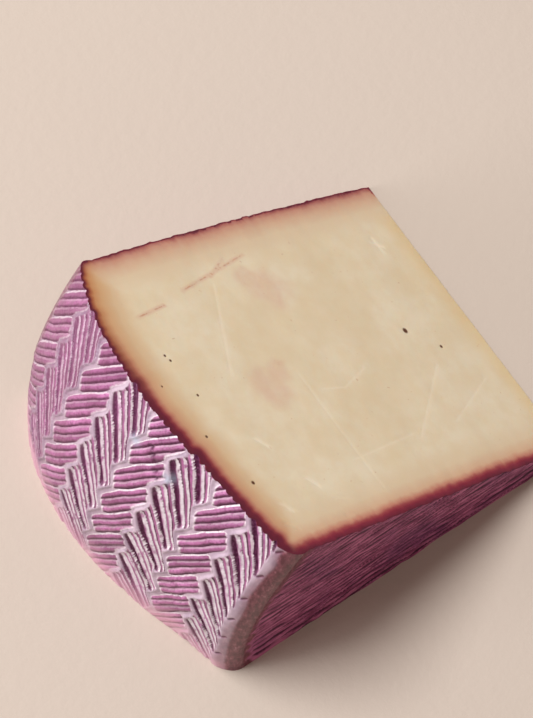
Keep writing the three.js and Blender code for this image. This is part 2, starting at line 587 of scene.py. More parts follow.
        fields = {
            "stain": notch,
            "phase": STRANDS * bundle + phase,
            "rising": rises.astype(float),
            "lens": lens,
            "firm": contrast * firmness,
            "foot": 1 - smooth_step(pink, *self.pink_foot),
            "rear": smooth_step(height, *self.rear_span),
            "groove": fibres,
            "tone": tone,
            "share": share,
            "blue": self.spots(self.blue_places, arc, height),
        }
        return relief + rough - self.notch_depth * notch, fields


@dataclass(frozen=True)
class DrainageRidges:
    """The ridges that the draining boards left on both flats: long, broken and wavy, like wood grain."""

    pitch: float = 2.1
    height: float = 0.3
    slope: float = 0.012
    bend: Ripple = Ripple(0.75, 17.0, 6.0)
    waver: Ripple = Ripple(0.42, 3.6, 2.0, 7.0)
    split: Ripple = Ripple(1.0, 9.0, 5.0, 20.0)
    split_span: Span = (0.0, 0.5)
    split_depth: float = 0.35
    crest_power: float = 0.7
    breaks: Ripple = Ripple(0.5, 6.0, 1.0, 3.0, 50.0)
    mean_height: float = 0.62
    least_height: float = 0.15
    tear_length: float = 2.3
    tears_a_ridge: float = 2.6
    tear_height: float = 0.08
    grain: Ripple = Ripple(1.0, 3.2, 0.42)
    grain_height: float = 0.07
    groove_shade: float = 0.7
    broken_shade: float = 0.5
    torn_light: float = 0.25
    grain_light: float = 0.15
    noise: Unevenness = field(default_factory=lambda: Unevenness(RIDGE_SEED))

    def press(self, along: np.ndarray, level: np.ndarray) -> tuple[np.ndarray, np.ndarray]:
        """Press the ridges into a flat.

        Args:
            along: Distance from the tip edge, along the table.
            level: Height above the table.

        Returns:
            The relief at each point, and the painted shade of the grooves, darker where ridges break off,
            from 0 to 1.
        """
        bend = self.noise.layer(self.bend, along, level)
        waver = self.noise.layer(self.waver, along, level)
        turn = (level + bend + waver + self.slope * along) / self.pitch
        split = smooth_step(self.noise.layer(self.split, along, level), *self.split_span)
        once = 0.5 + 0.5 * np.cos(2 * math.pi * turn)
        wave = once - self.split_depth * split * np.cos(4 * math.pi * turn)
        crest = np.clip(wave, 0.0, 1.0) ** self.crest_power
        broken = self.mean_height + self.noise.layer(self.breaks, along, turn)
        torn = self.noise.at(along / self.tear_length, turn * self.tears_a_ridge)
        grain = self.noise.layer(self.grain, along, level)
        ridge = self.height * crest * np.clip(broken, self.least_height, 1.0)
        relief = ridge + self.tear_height * torn + self.grain_height * grain
        shade = (1 - crest) * (self.groove_shade + self.broken_shade * broken)
        groove = np.clip(shade - self.torn_light * torn - self.grain_light * grain, 0.0, 1.0)
        return relief - self.height, groove


@dataclass(frozen=True)
class CutFaceMarks:
    """What the knife and the ripening left on the upper cut face.

    A place is a distance from the tip edge and a height in the wheel. A line is two places. A spot is a
    place and a size.
    """

    scratches: tuple[Line, ...] = (
        (60.7, 65.0, 72.8, 43.3),
        (18.2, 29.5, 36.4, 14.7),
        (7.8, 22.5, 24.3, 15.2),
        (55.9, 38.1, 55.5, 6.9),
        (38.1, 16.0, 58.1, 15.2),
        (55.5, 2.2, 69.3, 8.7),
        (38.5, 34.5, 46.5, 31.8),
        (46.5, 31.8, 53.0, 33.2),
    )
    nicks: tuple[Line, ...] = (
        (83.2, 5.2, 85.6, 7.4),
        (67.4, 2.9, 69.4, 4.1),
        (81.4, 9.2, 83.3, 11.6),
        (76.2, 24.6, 78.2, 27.2),
        (71.0, 12.5, 72.6, 15.0),
        (8.4, 61.6, 11.2, 63.8),
        (9.7, 60.7, 10.0, 64.6),
    )
    specks: tuple[Spot, ...] = (
        (19.8, 40.0, 0.85),
        (13.2, 33.5, 0.5),
        (85.5, 52.3, 0.4),
        (85.0, 50.8, 0.4),
        (91.4, 45.7, 0.3),
        (89.3, 31.6, 0.42),
        (86.1, 18.3, 0.55),
        (84.4, 41.2, 0.4),
    )
    patches: tuple[Spot, ...] = (
        (47.7, 60.7, 5.5),
        (65.4, 37.3, 5.0),
        (52.0, 64.5, 3.0),
        (61.0, 40.5, 3.4),
    )
    veins: tuple[Line, ...] = (
        (48.1, 70.0, 69.3, 65.9),
        (77.1, 63.7, 84.9, 62.8),
        (54.0, 70.4, 60.0, 67.2),
    )
    scratch_depth: float = 0.04
    scratch_width: float = 0.3
    scratch_light: float = 0.45
    nick_depth: float = 0.14
    nick_width: float = 0.4
    nick_light: float = 1.0
    speck_depth: float = 0.08
    speck_squash: float = 0.8
    vein_width: float = 0.45
    patch_strength: float = 0.5
    patch_fade: Span = (0.4, 1.5)
    patch_edge: Ripple = Ripple(0.35, 2.5, 2.5, 5.0)
    swell: Ripple = Ripple(0.12, 9.0, 13.0)
    ripple: Ripple = Ripple(0.05, 2.4, 5.0)
    plain: Ripple = Ripple(0.09, 7.0, 9.0)
    line_step: float = 0.8
    line_rows: tuple[float, ...] = (-0.9, -0.45, 0.0, 0.45, 0.9)
    speck_rings: tuple[float, ...] = (0.35, 0.8, 1.3, 1.9)
    ring_points: int = 8
    noise: Unevenness = field(default_factory=lambda: Unevenness(MARK_SEED))

    @staticmethod
    def mark(line: Line, width: float, u: np.ndarray, v: np.ndarray) -> np.ndarray:
        """Give how strongly each point lies on a stretch of line.

        Args:
            line: The line's two ends.
            width: How far the mark reaches to each side.
            u: Distance from the tip edge up the face.
            v: Height in the wheel.

        Returns:
            One share for each point, from 0 far away to 1 on the line.
        """
        start, end = np.array(line[:2]), np.array(line[2:])
        run = end - start
        share = np.clip(((u - start[0]) * run[0] + (v - start[1]) * run[1]) / (run @ run), 0.0, 1.0)
        off = np.hypot(u - start[0] - share * run[0], v - start[1] - share * run[1])
        return np.exp(-((off / width) ** 2))

    def press(self, u: np.ndarray, v: np.ndarray) -> tuple[np.ndarray, Fields]:
        """Mark the upper cut face.

        Args:
            u: Distance from the tip edge up the face.
            v: Height in the wheel.

        Returns:
            The relief at each point, and the marks that the finish reads.
        """
        relief = self.noise.layer(self.swell, u, v) + self.noise.layer(self.ripple, u, v)
        scar = np.zeros_like(u)
        for lines, depth, width, light in (
            (self.scratches, self.scratch_depth, self.scratch_width, self.scratch_light),
            (self.nicks, self.nick_depth, self.nick_width, self.nick_light),
        ):
            for line in lines:
                cut = self.mark(line, width, u, v)
                relief = relief - depth * cut
                scar = np.maximum(scar, light * cut)
        speck = np.zeros_like(u)
        for place_u, place_v, size in self.specks:
            off = np.hypot(u - place_u, (v - place_v) * self.speck_squash) / size
            speck = np.maximum(speck, np.exp(-(off**2)))
        blush = np.zeros_like(u)
        ragged = self.noise.layer(self.patch_edge, u, v)
        for place_u, place_v, size in self.patches:
            off = np.hypot(u - place_u, v - place_v) / size + ragged
            patch = self.patch_strength * (1 - smooth_step(off, *self.patch_fade))
            blush = np.maximum(blush, patch)
        for line in self.veins:
            blush = np.maximum(blush, self.mark(line, self.vein_width, u, v))
        return relief - self.speck_depth * speck, {"speck": speck, "blush": blush, "scar": scar}

    def press_plain(self, u: np.ndarray, v: np.ndarray) -> np.ndarray:
        """Give the relief of the lower cut face, which the table hides."""
        return np.abs(self.noise.layer(self.plain, u, v))

    def close_points(self) -> np.ndarray:
        """List extra points round the marks, so that the mesh can follow them.

        Returns:
            The u and v of each point.
        """
        points = []
        for line in self.scratches + self.nicks + self.veins:
            start, end = np.array(line[:2]), np.array(line[2:])
            run = end - start
            length = float(np.hypot(*run))
            normal = np.array((-run[1], run[0])) / length
            for share in np.linspace(0.0, 1.0, max(int(length / self.line_step), 3)):
                for off in self.line_rows:
                    points.append(start + share * run + off * normal)
        for place_u, place_v, size in self.specks:
            for ring in self.speck_rings:
                for turn in np.arange(self.ring_points) * 2 * math.pi / self.ring_points + ring:
                    offset = np.array((math.cos(turn), math.sin(turn))) * ring * size
                    points.append(np.array((place_u, place_v)) + offset)
            points.append(np.array((place_u, place_v)))
        return np.array(points)


class Shell:
    """A closed mesh gathered stretch by stretch, whose stretches share the points of their borders."""

    INSIDE_ONLY = 1
    MAP_TOLERANCE = 1e-5

    def __init__(self) -> None:
        """Start with no points."""
        self.points: list[np.ndarray] = []
        self.fields: dict[str, list[np.ndarray]] = {name: [] for name in FIELDS}
        self.triangles: list[np.ndarray] = []
        self.faces: list[np.ndarray] = []
        self.count = 0

    def add(self, points: np.ndarray, fields: Fields) -> np.ndarray:
        """Add points.

        Args:
            points: Their places, one row each.
            fields: What is known at each; what isn't named is 0.

        Returns:
            The new points' numbers.
        """
        self.points.append(points)
        for name in FIELDS:
            self.fields[name].append(fields.get(name, np.zeros(len(points))))
        numbers = np.arange(self.count, self.count + len(points))
        self.count += len(points)
        return numbers

    def place_of(self, numbers: np.ndarray) -> np.ndarray:
        """Give the places of points by their numbers."""
        return np.concatenate(self.points)[numbers]

    def add_triangles(self, triangles: np.ndarray, face: Face, outward: np.ndarray) -> None:
        """Add triangles, turned so that they look outward.

        Args:
            triangles: Three point numbers a row.
            face: The stretch that they belong to.
            outward: A direction out of the wedge there.
        """
        corners = self.place_of(triangles)
        normals = np.cross(corners[:, 1] - corners[:, 0], corners[:, 2] - corners[:, 0])
        if normals.sum(axis=0) @ outward < 0:
            triangles = triangles[:, ::-1]
        self.triangles.append(triangles)
        self.faces.append(np.full(len(triangles), face.value))

    def fill(
        self,
        border: np.ndarray,
        border_map: np.ndarray,
        inside_map: np.ndarray,
        lift: Callable[[np.ndarray, np.ndarray], tuple[np.ndarray, Fields]],
        face: Face,
        outward: np.ndarray,
    ) -> None:
        """Fill a closed border with triangles.

        Args:
            border: The border's point numbers, in order.
            border_map: The border's places on a flat map.
            inside_map: Places on that map to use inside the border.
            lift: Turns places on the map into points and fields.
            face: The stretch that this is.
            outward: A direction out of the wedge there.
        """
        flat_points = [Vector(place) for place in np.concatenate([border_map, inside_map])]
        last = len(border)
        edges = [(step, (step + 1) % last) for step in range(last)]
        filled = delaunay_2d_cdt(flat_points, edges, [], self.INSIDE_ONLY, self.MAP_TOLERANCE)
        places, _, faces, sources, _, _ = filled
        triangles = np.array(faces)
        used = np.unique(triangles)
        numbers = np.full(len(places), -1)
        for place in used:
            on_border = [source for source in sources[place] if source < last]
            if on_border:
                numbers[place] = border[on_border[0]]
        fresh = used[numbers[used] < 0]
        spots = np.array([tuple(places[place]) for place in fresh])
        points, fields = lift(spots[:, 0], spots[:, 1])
        numbers[fresh] = self.add(points, fields)
        self.add_triangles(numbers[triangles], face, outward)

    def to_mesh(self, name: str, origin: np.ndarray) -> bpy.types.Mesh:
        """Make the Blender mesh, in metres.

        Args:
            name: The mesh's name.
            origin: Where the wheel's own origin lies in the frame, in metres.

        Returns:
            The mesh, with smooth faces, sharp cut edges and a material number for each face.
        """
        mesh = bpy.data.meshes.new(name)
        triangles = np.concatenate(self.triangles)
        faces = np.concatenate(self.faces)
        mesh.from_pydata((np.concatenate(self.points) * MM + origin).tolist(), [], triangles.tolist())
        is_rind = np.array([stretch.is_rind() for stretch in Face])
        mesh.polygons.foreach_set("material_index", is_rind[faces].astype(np.int32))
        mesh.polygons.foreach_set("use_smooth", np.ones(len(triangles), dtype=bool))
        for field_name, parts in self.fields.items():
            attribute = mesh.attributes.new(field_name, "FLOAT", "POINT")
            attribute.data.foreach_set("value", np.concatenate(parts).astype(np.float32))
        mesh.update()
        self.sharpen(mesh, faces)
        return mesh

    @staticmethod
    def sharpen(mesh: bpy.types.Mesh, faces: np.ndarray) -> None:
        """Mark the edges between rind, cut faces and tip as sharp.

        Args:
            mesh: The finished mesh.
            faces: The stretch of each triangle.
        """
        group = np.where(faces <= Face.BACK_FLAT.value, Face.RIM.value, faces)
        edge_of_loop = np.empty(len(mesh.loops), dtype=np.int32)
        mesh.loops.foreach_get("edge_index", edge_of_loop)
        group_of_loop = np.repeat(group, 3)
        lowest = np.full(len(mesh.edges), len(Face))
        highest = np.full(len(mesh.edges), -1)
        np.minimum.at(lowest, edge_of_loop, group_of_loop)
        np.maximum.at(highest, edge_of_loop, group_of_loop)
        sharp = mesh.attributes.new("sharp_edge", "BOOLEAN", "EDGE")
        sharp.data.foreach_set("value", lowest != highest)


class Value:
    """A number that varies over a surface, with the arithmetic that the finishes use."""

    def __init__(self, tree: "FinishTree", socket: bpy.types.NodeSocket) -> None:
        """Wrap one output socket."""
        self.tree = tree
        self.socket = socket

    def __add__(self, other: "Value | float") -> "Value":
        """Add."""
        return self.tree.math("ADD", self, other)

    __radd__ = __add__

    def __sub__(self, other: "Value | float") -> "Value":
        """Take away."""
        return self.tree.math("SUBTRACT", self, other)

    def __rsub__(self, other: float) -> "Value":
        """Take this value away from a number."""
        return self.tree.math("SUBTRACT", other, self)

    def __mul__(self, other: "Value | float") -> "Value":
        """Multiply."""
        return self.tree.math("MULTIPLY", self, other)

    __rmul__ = __mul__

    def step(self, start: float, end: float) -> "Value":
        """Ease from 0 at one value to 1 at another."""
        sockets = {"Value": self, "From Min": start, "From Max": end}
        return self.tree.value("ShaderNodeMapRange", {"interpolation_type": "SMOOTHSTEP"}, sockets)


@dataclass(frozen=True)
class Mottle:
    """Patches of one size: noise seen through a step. A stretch under 1 makes them longer on that axis."""

    grain: float
    detail: float
    span: Span
    strength: float = 1.0
    stretch: Axes = (1.0, 1.0, 1.0)


@dataclass(frozen=True)
class Waver:
    """Noise about 0, for edges that wander."""

    grain: float
    detail: float
    amount: float


@dataclass(frozen=True)
class Skin:
    """Two layers of noise, coarse and fine, for a surface's smallest bumps."""

    coarse: float
    coarse_detail: float
    fine: float
    depth: float
    coarse_share: float = 0.7
    fine_detail: float = 2.0
    fine_share: float = 0.3


class FinishTree:
    """One material's nodes."""

    NOISE_ROUGHNESS = 0.6
    MIX_FACTOR = 0
    MIX_FIRST = 6
    MIX_SECOND = 7
    MIX_COLOUR = 2

    def __init__(self, name: str) -> None:
        """Start a material without any nodes.

        Args:
            name: The material's name.
        """
        self.material = bpy.data.materials.new(name)
        self.material.use_nodes = True
        self.nodes = self.material.node_tree.nodes
        self.nodes.clear()

    def node(self, kind: str, settings: dict, sockets: dict) -> bpy.types.Node:
        """Add a node.

        Args:
            kind: The node's type.
            settings: Its own settings; "stops" are a ramp's places and colours.
            sockets: A value or a link for each input, by name or number.

        Returns:
            The node.
        """
        node = self.nodes.new(kind)
        for name, setting in settings.items():
            if name == "stops":
                self.set_stops(node.color_ramp, setting)
            else:
                setattr(node, name, setting)
        for name, source in sockets.items():
            if isinstance(source, Value):
                source = source.socket
            if isinstance(source, bpy.types.NodeSocket):
                self.material.node_tree.links.new(source, node.inputs[name])
            else:
                node.inputs[name].default_value = source
        return node

    @staticmethod
    def set_stops(ramp: bpy.types.ColorRamp, stops: Stops) -> None:
        """Give a colour ramp its stops.

        Args:
            ramp: The ramp.
            stops: The place and colour of each stop, in order.
        """
        while len(ramp.elements) < len(stops):
            ramp.elements.new(1.0)
        for element, (place, colour) in zip(ramp.elements, stops):
            element.position = place
            element.color = colour

    def value(self, kind: str, settings: dict, sockets: dict) -> Value:
        """Add a node and take its first output as a number."""
        return Value(self, self.node(kind, settings, sockets).outputs[0])

    def math(self, operation: str, first: Value | float, second: Value | float) -> Value:
        """Add a Math node."""
        return self.value("ShaderNodeMath", {"operation": operation}, {0: first, 1: second})

    def read(self, name: str) -> Value:
        """Read one of the mesh's fields."""
        return Value(self, self.node("ShaderNodeAttribute", {"attribute_name": name}, {}).outputs["Fac"])

    def place(self, stretch: Axes) -> bpy.types.NodeSocket:
        """Give each point's place in the object, stretched along the axes.

        Args:
            stretch: A factor on each axis.

        Returns:
            The stretched place.
        """
        coordinates = self.node("ShaderNodeTexCoord", {}, {}).outputs["Object"]
        settings = {"operation": "MULTIPLY"}
        return self.node("ShaderNodeVectorMath", settings, {0: coordinates, 1: stretch}).outputs[0]

    def noise(self, grain: float, detail: float = 3.0, stretch: Axes = (1.0, 1.0, 1.0)) -> Value:
        """Add noise whose lumps are a given size.

        Args:
            grain: The lumps' size, in millimetres.
            detail: How many finer layers it has.
            stretch: A factor on each axis; under 1 makes longer lumps.

        Returns:
            The noise, about 0.5.
        """
        sockets = {
            "Vector": self.place(stretch),
            "Scale": 1 / (grain * MM),
            "Detail": detail,
            "Roughness": self.NOISE_ROUGHNESS,
        }
        return self.value("ShaderNodeTexNoise", {}, sockets)

    def mottle(self, mottle: Mottle) -> Value:
        """Add patches, from 0 between them to their strength inside."""
        patches = self.noise(mottle.grain, mottle.detail, mottle.stretch).step(*mottle.span)
        return patches if mottle.strength == 1.0 else patches * mottle.strength

    def waver(self, waver: Waver) -> Value:
        """Add noise about 0."""
        return (self.noise(waver.grain, waver.detail) - 0.5) * waver.amount

    def skin(self, skin: Skin) -> bpy.types.NodeSocket:
        """Add a surface's smallest bumps.

        Args:
            skin: The two layers of noise.

        Returns:
            The normal.
        """
        coarse = self.noise(skin.coarse, skin.coarse_detail) * skin.coarse_share
        fine = self.noise(skin.fine, skin.fine_detail) * skin.fine_share
        return self.bump(coarse + fine, skin.depth)

    def mix(
        self,
        factor: Value | float,
        first: bpy.types.NodeSocket | Colour,
        second: bpy.types.NodeSocket | Colour,
    ) -> bpy.types.NodeSocket:
        """Mix two colours.

        Args:
            factor: How much of the second colour shows, from 0 to 1.
            first: The first colour.
            second: The second colour.

        Returns:
            The mixed colour.
        """
        sockets = {self.MIX_FACTOR: factor, self.MIX_FIRST: first, self.MIX_SECOND: second}
        return self.node("ShaderNodeMix", {"data_type": "RGBA"}, sockets).outputs[self.MIX_COLOUR]

    def ramp(self, factor: Value, stops: Stops) -> bpy.types.NodeSocket:
        """Pick a colour along a ramp."""
        return self.node("ShaderNodeValToRGB", {"stops": stops}, {"Fac": factor}).outputs[0]

    def bump(self, height: Value, depth: float) -> bpy.types.NodeSocket:
        """Turn a height from 0 to 1 into a surface normal.

        Args:
            height: The height.
            depth: What a height of 1 measures, in millimetres.

        Returns:
            The normal.
        """
        return self.node("ShaderNodeBump", {}, {"Height": height, "Distance": depth * MM}).outputs[0]

    def finish(self, sockets: dict) -> bpy.types.Material:
        """Add the shader and the output.

        Args:
            sockets: What goes to the shader's inputs.

        Returns:
            The finished material.
        """
        shader = self.node("ShaderNodeBsdfPrincipled", {}, sockets)
        self.node("ShaderNodeOutputMaterial", {}, {"Surface": shader.outputs[0]})
        return self.material


@dataclass(frozen=True)
class PasteFinish:
    """The cream paste of the cut faces, stained by wine where it meets the rind."""

    cream: Colour = paint(217, 202, 173)
    pale: Colour = paint(222, 210, 185)
    ivory: Colour = paint(213, 190, 153)
    yellow: Colour = paint(217, 190, 144)
    blush: Colour = paint(204, 160, 140)
    scar: Colour = paint(236, 226, 206)
    freckle: Colour = paint(186, 134, 98)
    vein: Colour = paint(178, 100, 78)
    speck: Colour = paint(88, 52, 34)
    rim_stops: Stops = (
        (0.0, paint(84, 18, 42)),
        (0.16, paint(104, 24, 46)),
        (0.23, paint(136, 54, 60)),
        (0.3, paint(170, 104, 90)),
        (0.42, paint(194, 148, 116)),
        (0.72, paint(204, 174, 138)),
    )
    orange_stops: Stops = (
        (0.0, paint(78, 14, 36)),
        (0.05, paint(104, 30, 44)),
        (0.11, paint(158, 88, 58)),
        (0.2, paint(190, 136, 92)),
        (0.38, paint(200, 160, 118)),
        (0.7, paint(205, 176, 140)),
    )
    flat_stops: Stops = (
        (0.0, paint(84, 18, 42)),
        (0.13, paint(126, 32, 54)),
        (0.2, paint(152, 66, 70)),
        (0.28, paint(190, 130, 110)),
        (0.4, paint(207, 172, 142)),
        (0.7, paint(214, 194, 164)),
    )
    back_stops: Stops = (
        (0.0, paint(80, 18, 40)),
        (0.04, paint(108, 38, 54)),
        (0.1, paint(164, 98, 92)),
        (0.2, paint(192, 142, 122)),
        (0.4, paint(205, 171, 144)),
        (0.7, paint(213, 192, 163)),
    )
    cloud: Mottle = Mottle(19.0, 2.0, (0.35, 0.65))
    ivory_patches: Mottle = Mottle(4.2, 4.0, (0.3, 0.7), 0.35)
    freckles: Mottle = Mottle(1.3, 2.0, (0.71, 0.77), 0.45)
    blush_span: Span = (0.0, 0.5)
    blush_grain: float = 3.2
    blush_noise: float = 0.5
    blush_least: float = 0.1
    vein_span: Span = (0.55, 0.95)
    vein_dots: Mottle = Mottle(1.1, 2.0, (0.42, 0.6), 0.45)
    vein_least: float = 0.08
    scar_strength: float = 0.6
    tip_span: Span = (0.0, 6.0)
    tip_strength: float = 0.7
    stain_reach: float = 9.0
    slow_waver: Waver = Waver(3.4, 2.0, 1.2)
    quick_waver: Waver = Waver(0.9, 2.0, 0.4)
    rim_waver: float = 0.5
    back_waver: Waver = Waver(26.0, 3.0, 0.16)
    back_span: Span = (0.5, 0.95)
    corner_span: Span = (-2.5, 2.5)
    fade_start: float = 0.6
    fade_end: float = 1.3
    speck_span: Span = (0.4, 0.8)
    skin: Skin = Skin(1.6, 5.0, 0.35, 0.03)
    roughness: float = 0.42
    roughness_grain: float = 6.0
    roughness_spread: float = 0.2
    glow: float = 0.25
    glow_radius: Axes = (1.0, 0.55, 0.3)
    glow_reach: float = 2.5
    shine: float = 0.4

    def paste_colour(self, tree: FinishTree) -> bpy.types.NodeSocket:
        """Colour the paste, away from the stain: cream, with patches, freckles, veins and knife marks.

        Args:
            tree: The paste's nodes.

        Returns:
            The colour.
        """
        colour = tree.mix(tree.mottle(self.cloud), self.cream, self.pale)
        colour = tree.mix(tree.mottle(self.ivory_patches), colour, self.ivory)
        colour = tree.mix(tree.mottle(self.freckles), colour, self.freckle)
        blush = tree.read("blush")
        patchy = tree.noise(self.blush_grain) * self.blush_noise + self.blush_least
        colour = tree.mix(blush.step(*self.blush_span) * patchy, colour, self.blush)
        dotted = tree.mottle(self.vein_dots) + self.vein_least
        colour = tree.mix(blush.step(*self.vein_span) * dotted, colour, self.vein)
        colour = tree.mix(tree.read("scar") * self.scar_strength, colour, self.scar)
        tip = 1 - tree.read("tip_gap").step(*self.tip_span)
        return tree.mix(tip * self.tip_strength, colour, self.yellow)

    def make(self) -> bpy.types.Material:
        """Build the material.

        Returns:
            The material.
        """
        tree = FinishTree("cream_paste")
        waver = tree.waver(self.slow_waver) + tree.waver(self.quick_waver)
        rim_gap = tree.read("rim_gap")
        flat_gap = tree.read("flat_gap")
        rim_share = (rim_gap + waver * self.rim_waver) * (1 / self.stain_reach)
        flat_share = (flat_gap + waver) * (1 / self.stain_reach)
        back_share = flat_share + tree.waver(self.back_waver)
        back = tree.read("across").step(*self.back_span)
        front_rim = tree.ramp(rim_share, self.rim_stops)
        front_flat = tree.ramp(flat_share, self.flat_stops)
        rim_stain = tree.mix(back, front_rim, tree.ramp(rim_share, self.orange_stops))
        flat_stain = tree.mix(back, front_flat, tree.ramp(back_share, self.back_stops))
        stained = tree.mix((rim_gap - flat_gap).step(*self.corner_span), rim_stain, flat_stain)
        nearest = tree.math("MINIMUM", rim_gap, flat_gap) + waver
        clean = nearest.step(self.fade_start * self.stain_reach, self.fade_end * self.stain_reach)
        colour = tree.mix(1 - clean, self.paste_colour(tree), stained)
        colour = tree.mix(tree.read("speck").step(*self.speck_span), colour, self.speck)
        mean = self.roughness - self.roughness_spread / 2
        return tree.finish(
            {
                "Base Color": colour,
                "Roughness": tree.noise(self.roughness_grain) * self.roughness_spread + mean,
                "Normal": tree.skin(self.skin),
                "Subsurface Weight": self.glow,
                "Subsurface Radius": self.glow_radius,
                "Subsurface Scale": self.glow_reach * MM,
                "Specular IOR Level": self.shine,
            }
        )


@dataclass(frozen=True)
class RindFinish:
    """The wine-soaked rind: a waxy plait in lilac, pink and wine on the rim, with painted shade and painted
    highlights on its strands, and mauve ridges with painted shade in their grooves on the flats.
    """

    matrix: Colour = paint(196, 174, 190)
    matrix_grey: Colour = paint(130, 102, 128)
    pad: Colour = paint(162, 96, 138)
    pad_bright: Colour = paint(190, 118, 168)
    pad_deep: Colour = paint(104, 46, 84)
    # Wine-dark: the nicks, and each strand's dark band of wine stain and painted shade.
    wine: Colour = paint(74, 16, 54)
    # White paints the highlights on the strands and round the bundles.
    white: Colour = paint(244, 236, 240)
    blue: Colour = paint(176, 190, 208)
    foot_pink: Colour = paint(226, 168, 190)
    rear_mauve: Colour = paint(150, 98, 130)
    shoulder_brown: Colour = paint(138, 78, 92)
    shoulder_dark: Colour = paint(100, 50, 62)
    shoulder_highlight: Colour = paint(196, 148, 160)
    ridge_pink: Colour = paint(202, 118, 158)
    ridge_mauve: Colour = paint(136, 62, 100)
    ridge_dark: Colour = paint(58, 16, 46)
    ridge_violet: Colour = paint(84, 36, 90)
    rising_span: Span = (0.4, 0.6)
    opening_span: Span = (0.1, 0.5)
    fleck_grain: float = 0.55
    streak_grain: float = 1.6
    slow_waver: Waver = Waver(2.0, 1.0, 0.16)
    quick_waver: Waver = Waver(0.5, 2.0, 0.06)
    first_strand: Span = (0.32, 0.345)
    last_strand: Span = (0.68, 0.7)
    wide_growth: float = 0.48
    wide_start: float = 0.16
    rising_dark: float = 0.17
    dark_waver: float = 0.45
    dark_width: float = 0.32
    dark_edge: Span = (-0.07, 0.1)
    dark_halo: Span = (0.0, 0.3)
    halo_strength: float = 0.5
    white_edge: Span = (0.72, 0.84)
    white_shift: float = 0.05
    matrix_cloud: Mottle = Mottle(7.0, 3.0, (0.35, 0.65), 0.5)
    rear_grey: float = 0.3
    pad_patches: Mottle = Mottle(5.0, 3.0, (0.35, 0.65))
    tone_strength: float = 0.55
    fleck_span: Span = (0.46, 0.7)
    fleck_strength: float = 0.6
    rear_span: Span = (-0.3, 0.7)
    rear_fibres: float = 0.5
    rear_least: float = 0.25
    foot_strength: float = 0.7
    edge_strength: float = 0.7
    outline_start: Span = (0.05, 0.3)
    outline_end: Span = (0.45, 0.8)
    outline_rising_loss: float = 0.75
    patchiness_span: Span = (0.3, 0.6)
    outline_patchiness: float = 0.45
    outline_least: float = 0.25
    crest_firm: float = 0.75
    crest_least: float = 0.1
    crest_streaks: Span = (0.25, 0.5)
    shade_patchiness: float = 0.4
    blue_fleck: float = 0.8
    ridge_grain: Mottle = Mottle(1.1, 4.0, (0.38, 0.66), 1.0, (0.22, 1.0, 1.0))
    violet_patches: Mottle = Mottle(14.0, 3.0, (0.45, 0.7), 0.5)
    pink_highlight_streaks: Mottle = Mottle(0.6, 3.0, (0.54, 0.68), 0.8, (0.25, 1.0, 1.0))
    ridge_foot: float = 0.55
    groove_span: Span = (0.3, 0.9)
    groove_strength: float = 0.9
    wax_streaks: Mottle = Mottle(0.9, 4.0, (0.35, 0.65), 1.0, (1.0, 1.0, 0.4))
    wax_highlights: Mottle = Mottle(0.9, 4.0, (0.58, 0.72), 0.4, (1.0, 1.0, 0.4))
    skin: Skin = Skin(0.7, 4.0, 0.25, 0.12)
    roughness: float = 0.36
    roughness_grain: float = 1.5
    roughness_spread: float = 0.3
    roughness_drop: float = 0.1
    flat_roughness: float = 0.16
    wax: float = 0.4
    wax_roughness: float = 0.28
    shine: float = 0.18

    def rim_colour(self, tree: FinishTree) -> bpy.types.NodeSocket:
        """Colour the plait: a wine-dark band under each strand, part wine stain and part painted shade,
        pink on it, and a painted highlight in white along its upper side.

        Args:
            tree: The rind's nodes.

        Returns:
            The colour.
        """
        rising = tree.read("rising").step(*self.rising_span)
        firm = tree.read("firm")
        lens = tree.read("lens")
        rear = tree.read("rear")
        opening = lens.step(*self.opening_span)
        fleck = tree.noise(self.fleck_grain)
        streak = tree.noise(self.streak_grain)
        phase = tree.read("phase") + tree.waver(self.slow_waver) + tree.waver(self.quick_waver)
        width = tree.math("FRACT", phase, 0.0)
        place = tree.math("FRACT", phase * (1 / STRANDS), 0.0)
        growth = tree.read("share") * self.wide_growth - self.wide_start
        wide = (1 - place.step(*self.first_strand)) * growth
        dark_waver = (streak - 0.5) * self.dark_waver
        dark_end = rising * (wide + self.rising_dark) + dark_waver + self.dark_width
        past_dark = width - dark_end
        grey = tree.mottle(self.matrix_cloud) + rear * self.rear_grey
        colour = tree.mix(grey, self.matrix, self.matrix_grey)
        pad = tree.mix(tree.mottle(self.pad_patches), self.pad, self.pad_bright)
        pad = tree.mix(tree.read("tone") * self.tone_strength, pad, self.pad_deep)
        # Painted shade: the pad darkens towards the strand's dark band.
        pad = tree.mix((1 - past_dark.step(*self.dark_halo)) * self.halo_strength, pad, self.pad_deep)
        pad = tree.mix(fleck.step(*self.fleck_span) * self.fleck_strength, pad, self.pad_deep)
        colour = tree.mix(opening, colour, pad)
        fibres = tree.read("groove").step(*self.rear_span) * self.rear_fibres
        colour = tree.mix(rear * (fibres + self.rear_least), colour, self.rear_mauve)
        colour = tree.mix(tree.read("foot") * self.foot_strength, colour, self.foot_pink)
        # Painted highlight: a white rim along each bundle's outline, weaker on rising bands, in patches.
        patchiness = fleck.step(*self.patchiness_span)
        outline = lens.step(*self.outline_start) * (1 - lens.step(*self.outline_end))
        outline = outline * (1 - rising * self.outline_rising_loss) * firm
        colour = tree.mix(outline * (patchiness * self.outline_patchiness + self.outline_least), colour, self.white)
        # Painted highlight: white along each strand's upper, lit side, strongest on rising strands and the
        # last falling strand, in streaks.
        white = (width - rising * self.white_shift).step(*self.white_edge)
        crest = opening * white * (firm * self.crest_firm + self.crest_least)
        crest = crest * streak.step(*self.crest_streaks)
        edge = (rising + place.step(*self.last_strand)).step(0.0, 1.0)
        edge = edge * self.edge_strength + (1 - self.edge_strength)
        colour = tree.mix(crest * edge, colour, self.white)
